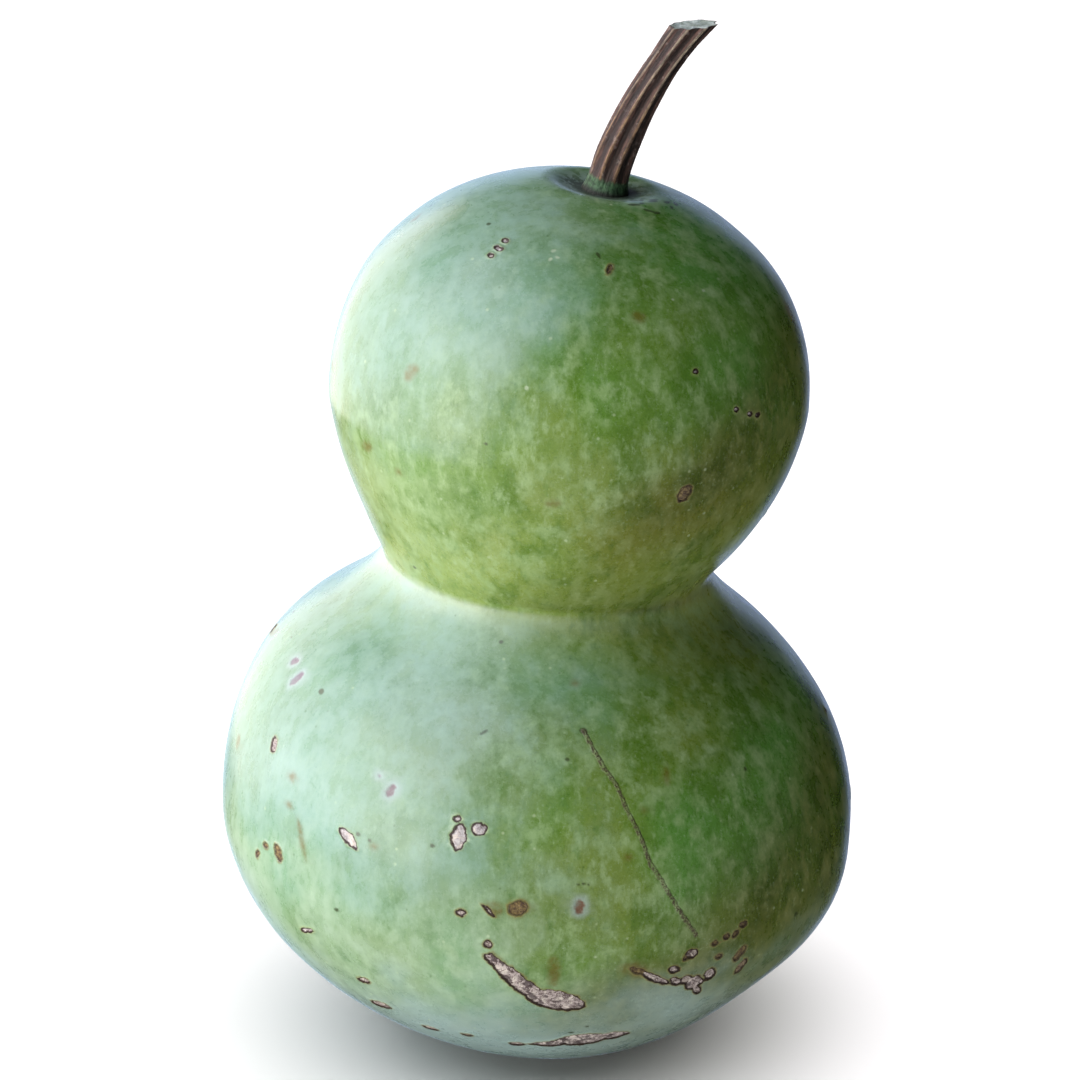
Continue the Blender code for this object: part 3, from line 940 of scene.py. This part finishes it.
def make_stalk():
    """A ring extruded along the stalk's line, ribbed and furrowed, then cut through at a slant."""
    line = stalk_line()
    bm = bmesh.new()
    share_layer = bm.verts.layers.float.new("share")
    crest_layer = bm.verts.layers.float.new("crest")
    grain_layer = bm.verts.layers.float_vector.new("grain")
    pith_layer = bm.verts.layers.float.new("pith")
    ring = bmesh.ops.create_circle(bm, cap_ends=True, segments=STALK_SIDES, radius=1.0)["verts"]
    ring.sort(key=lambda vertex: math.atan2(vertex.co.y, vertex.co.x))
    edges = list({edge for vertex in ring for edge in vertex.link_edges})
    for i, middle in enumerate(line):
        share = i / (STALK_STATIONS - 1)
        if i:
            grown = bmesh.ops.extrude_edge_only(bm, edges=edges)["geom"]
            edges = [item for item in grown if isinstance(item, bmesh.types.BMEdge)]
            # Each new point is joined to the one it grew from, which keeps the ring in order.
            fresh = {item for item in grown if isinstance(item, bmesh.types.BMVert)}
            edges = [edge for edge in edges if edge.verts[0] in fresh and edge.verts[1] in fresh]
            ring = [
                next(edge.other_vert(old) for edge in old.link_edges if edge.other_vert(old) in fresh)
                for old in ring
            ]
        ahead = (line[min(i + 1, STALK_STATIONS - 1)] - line[max(i - 1, 0)]).normalized()
        side = Vector((0.0, 1.0, 0.0)).cross(ahead).normalized()
        front = ahead.cross(side)
        for k, vertex in enumerate(ring):
            angle = math.tau * k / STALK_SIDES
            turned = angle + STALK_TWIST * share
            out = side * math.cos(turned) + front * math.sin(turned)
            radius = stalk_radius(share, angle)
            round_place = Vector((math.cos(angle), math.sin(angle), 0.0)) * ROD_RADIUS
            furrow = noise.noise(round_place * 2.4 + Vector((0.0, 0.0, share * 7.0)))
            pitted = noise.noise(round_place * 6.0 + Vector((0.0, 0.0, share * 60.0)))
            radius += (0.12 * furrow + 0.05 * pitted) * MM
            vertex.co = middle + out * radius
            vertex[share_layer] = share
            vertex[crest_layer] = rib_crest(angle)
            vertex[grain_layer] = (round_place.x, round_place.y, share * ROD_LENGTH)
    bmesh.ops.contextual_create(bm, geom=edges)
    geometry = bm.verts[:] + bm.edges[:] + bm.faces[:]
    cut = bmesh.ops.bisect_plane(bm, geom=geometry, plane_co=CUT_POINT, plane_no=CUT_NORMAL, clear_outer=True)
    rim = [item for item in cut["geom_cut"] if isinstance(item, bmesh.types.BMEdge)]
    for vertex in {vertex for edge in rim for vertex in edge.verts}:
        vertex.co += CUT_NORMAL * noise.noise(vertex.co / (2.4 * MM)) * 0.22 * MM
    face = bmesh.ops.contextual_create(bm, geom=rim)["faces"]
    # The bark stands as a thin lip round the pith, which has shrunk a little below it in rings.
    middle = face[0].calc_center_median()
    for shrunk, drop in PITH_RINGS:
        bmesh.ops.inset_region(bm, faces=face, thickness=0.0)
        for vertex in face[0].verts:
            vertex.co = middle + (vertex.co - middle) * shrunk
            vertex.co += CUT_NORMAL * (noise.noise(vertex.co / (1.4 * MM)) * 0.08 - drop) * MM
            vertex[pith_layer] = 1.0
    bmesh.ops.poke(bm, faces=face)
    bmesh.ops.recalc_face_normals(bm, faces=bm.faces[:])
    mesh = bpy.data.meshes.new("stalk_bark")
    bm.to_mesh(mesh)
    bm.free()
    mesh.shade_smooth()
    mesh.set_sharp_from_angle(angle=math.radians(50.0))
    return mesh


def make_bark():
    """Matt brown bark drawn into strings, tan on its ridges, with a collar that is still green."""
    material = bpy.data.materials.new("dry_bark")
    material.use_nodes = True
    tree = material.node_tree
    shader = tree.nodes["Principled BSDF"]
    place = add_node(tree, "place")
    grain = add_node(tree, "mark_place", attribute_name="grain")
    marks = {
        name: add_node(tree, "mark", attribute_name=name)
        for name in ("share", "crest", "pith")
    }

    # Strings of bark half a millimetre wide run the whole length, so the noise is drawn out along it.
    drawn = add_node(tree, "stretch", grain, (1.0, 1.0, 0.12))
    strings = add_node(tree, "noise", drawn, 2.2, 5.0, 0.7)
    flecks = add_node(tree, "noise", place, 1.0 / 0.0012, 3.0)
    bark = add_node(
        tree, "lay", add_node(tree, "ease", strings, 0.36, 0.64), linear("#2e201b"), linear("#614339")
    )
    bark = add_node(
        tree, "lay", add_node(tree, "ease", flecks, 0.58, 0.7, 0.0, 0.5), bark, linear("#8f8078")
    )
    bark = add_node(
        tree,
        "lay",
        add_node(tree, "ease", marks["crest"], 0.3, 0.02, 0.0, 0.75),
        bark,
        linear("#1f1512"),
    )
    ridge = add_node(
        tree,
        "multiply",
        add_node(tree, "ease", marks["crest"], 0.6, 0.92),
        add_node(tree, "ease", strings, 0.36, 0.58, 0.3, 0.85),
    )
    tan = add_node(
        tree,
        "lay",
        add_node(tree, "ease", marks["share"], 0.35, 0.7),
        linear("#a6845c"),
        linear("#aca086"),
    )
    bark = add_node(
        tree,
        "lay",
        add_node(tree, "multiply", ridge, add_node(tree, "ease", flecks, 0.35, 0.6, 1.0, 0.55)),
        bark,
        tan,
    )
    # The collar is green, mottled with mint, and browns along a ragged line. Painted shade darkens its foot,
    # where it grows out of the rind.
    ragged = add_node(
        tree, "add", marks["share"], add_node(tree, "ease", strings, 0.3, 0.7, -0.005, 0.005)
    )
    green = add_node(
        tree, "lay", add_node(tree, "ease", flecks, 0.36, 0.62), linear("#26452a"), linear("#4a704b")
    )
    # Painted shade at the foot of the collar, where it meets the rind.
    green = add_node(
        tree, "lay", add_node(tree, "ease", marks["share"], 0.066, 0.036), green, linear("#141d10")
    )
    bark = add_node(
        tree,
        "lay",
        add_node(tree, "ease", ragged, COLLAR_SHARE + 0.012, COLLAR_SHARE - 0.012),
        bark,
        green,
    )
    # The cut face is pale and dry, a little green, and flecked with darker fibre.
    cut = add_node(
        tree, "lay", add_node(tree, "ease", flecks, 0.38, 0.66), linear("#b9c6bf"), linear("#93a092")
    )
    bark = add_node(tree, "lay", marks["pith"], bark, cut)
    tree.links.new(bark, shader.inputs["Base Color"])
    shader.inputs["Roughness"].default_value = 0.62
    heights = add_node(
        tree, "add", add_node(tree, "multiply", strings, 0.3), add_node(tree, "multiply", flecks, 0.12)
    )
    bump = add_node(tree, "bump", heights, 0.9, MM)
    tree.links.new(bump, shader.inputs["Normal"])
    return material


stalk = bpy.data.objects.new("stalk_bark", make_stalk())
bpy.context.scene.collection.objects.link(stalk)
stalk.data.materials.append(make_bark())
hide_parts("stalk")
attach(stalk, "root")


# ---------------------------------------------------------------------------------------------- the studio
# The gourd stands on white paper in a white room. Broad windows of light stand at its left, a faint rim of
# light comes from behind at both edges, and the lens is long, so the gourd is seen almost square.

CAMERA_AIM = Vector((0.8 * MM, 0.0, 121.2 * MM))
CAMERA_ELEVATION = math.radians(20.0)
CAMERA_DISTANCE = 0.941
CAMERA_LENS = 135.0

camera_data = bpy.data.cameras.new("camera")
camera_data.lens = CAMERA_LENS
camera_data.sensor_width = 36.0
camera = bpy.data.objects.new("camera", camera_data)
bpy.context.scene.collection.objects.link(camera)
away = Vector((0.0, -math.cos(CAMERA_ELEVATION), math.sin(CAMERA_ELEVATION)))
camera.location = CAMERA_AIM + away * CAMERA_DISTANCE
camera.rotation_euler = away.to_track_quat("Z", "Y").to_euler()
bpy.context.scene.camera = camera

FLOOR_HALF = 1.4
bm = bmesh.new()
bmesh.ops.create_grid(bm, x_segments=1, y_segments=1, size=FLOOR_HALF)
floor_mesh = bpy.data.meshes.new("floor")
bm.to_mesh(floor_mesh)
bm.free()
floor = bpy.data.objects.new("floor", floor_mesh)
bpy.context.scene.collection.objects.link(floor)
white = bpy.data.materials.new("white_paper")
white.use_nodes = True
paper = white.node_tree.nodes["Principled BSDF"]
paper.inputs["Base Color"].default_value = linear("#f3f0f2")
paper.inputs["Roughness"].default_value = 0.9
paper.inputs["Emission Color"].default_value = linear("#ffffff")
paper.inputs["Emission Strength"].default_value = 0.05
floor_mesh.materials.append(white)


def add_softbox(name, azimuth, elevation, distance, width, height, colour, watts):
    """A rectangular light that faces the middle of the fruit from this azimuth and elevation, in degrees."""
    data = bpy.data.lights.new(name, "AREA")
    data.shape = "RECTANGLE"
    data.size = width
    data.size_y = height
    data.color = linear(colour)[:3]
    data.energy = watts
    lamp = bpy.data.objects.new(name, data)
    bpy.context.scene.collection.objects.link(lamp)
    turn, rise = math.radians(azimuth), math.radians(elevation)
    towards = Vector((math.sin(turn) * math.cos(rise), -math.cos(turn) * math.cos(rise), math.sin(rise)))
    lamp.location = CAMERA_AIM + towards * distance
    lamp.rotation_euler = towards.to_track_quat("Z", "Y").to_euler()
    lamp.visible_camera = False
    return lamp


windows = [
    add_softbox("window", -60, 18, 1.0, 0.92, 0.92, "#fffaf2", 11.6),
    add_softbox("side_window", -98, 18, 1.0, 0.46, 0.92, "#f6e8f6", 4.4),
    add_softbox("back_window", -134, 8, 1.0, 0.90, 1.00, "#fff2e8", 7.0),
    add_softbox("high_window", -66, 60, 1.0, 1.10, 0.50, "#e6eaff", 6.0),
    add_softbox("low_window", -72, -9, 0.36, 0.60, 0.13, "#ece8ff", 0.52),
]
edge_lamps = [
    add_softbox("left_edge", -168, -8, 1.0, 0.50, 1.20, "#c0d4ff", 3.2),
    add_softbox("right_edge", 166, -10, 1.0, 0.46, 1.10, "#b4c8f0", 1.9),
]
# The edge lamps only glint in the gloss of the rind and the bark.
for lamp in edge_lamps:
    lamp.visible_diffuse = False
paper_lamp = add_softbox("paper_lamp", 0, 90, 1.5, 4.0, 4.0, "#ffffff", 120.0)

# Flags keep the windows off the paper and the paper's own lamp off the fruit, as they would in a studio, so
# the paper stays white with one soft shadow. Black card keeps the paper out of the rind's gloss.
lit_by_windows = bpy.data.collections.new("lit_by_windows")
lit_by_windows.objects.link(fruit)
lit_by_windows.objects.link(stalk)
for lamp in windows + edge_lamps:
    lamp.light_linking.receiver_collection = lit_by_windows
lit_by_paper_lamp = bpy.data.collections.new("lit_by_paper_lamp")
lit_by_paper_lamp.objects.link(floor)
paper_lamp.light_linking.receiver_collection = lit_by_paper_lamp
floor.visible_glossy = False

world = bpy.data.worlds.new("studio")
world.use_nodes = True
world.node_tree.nodes["Background"].inputs["Color"].default_value = linear("#ffffff")
world.node_tree.nodes["Background"].inputs["Strength"].default_value = 1.0
# The white room is only seen: the lamps alone light the fruit.
world.cycles_visibility.diffuse = False
world.cycles_visibility.glossy = False
bpy.context.scene.world = world
bpy.context.scene.view_settings.view_transform = "Standard"
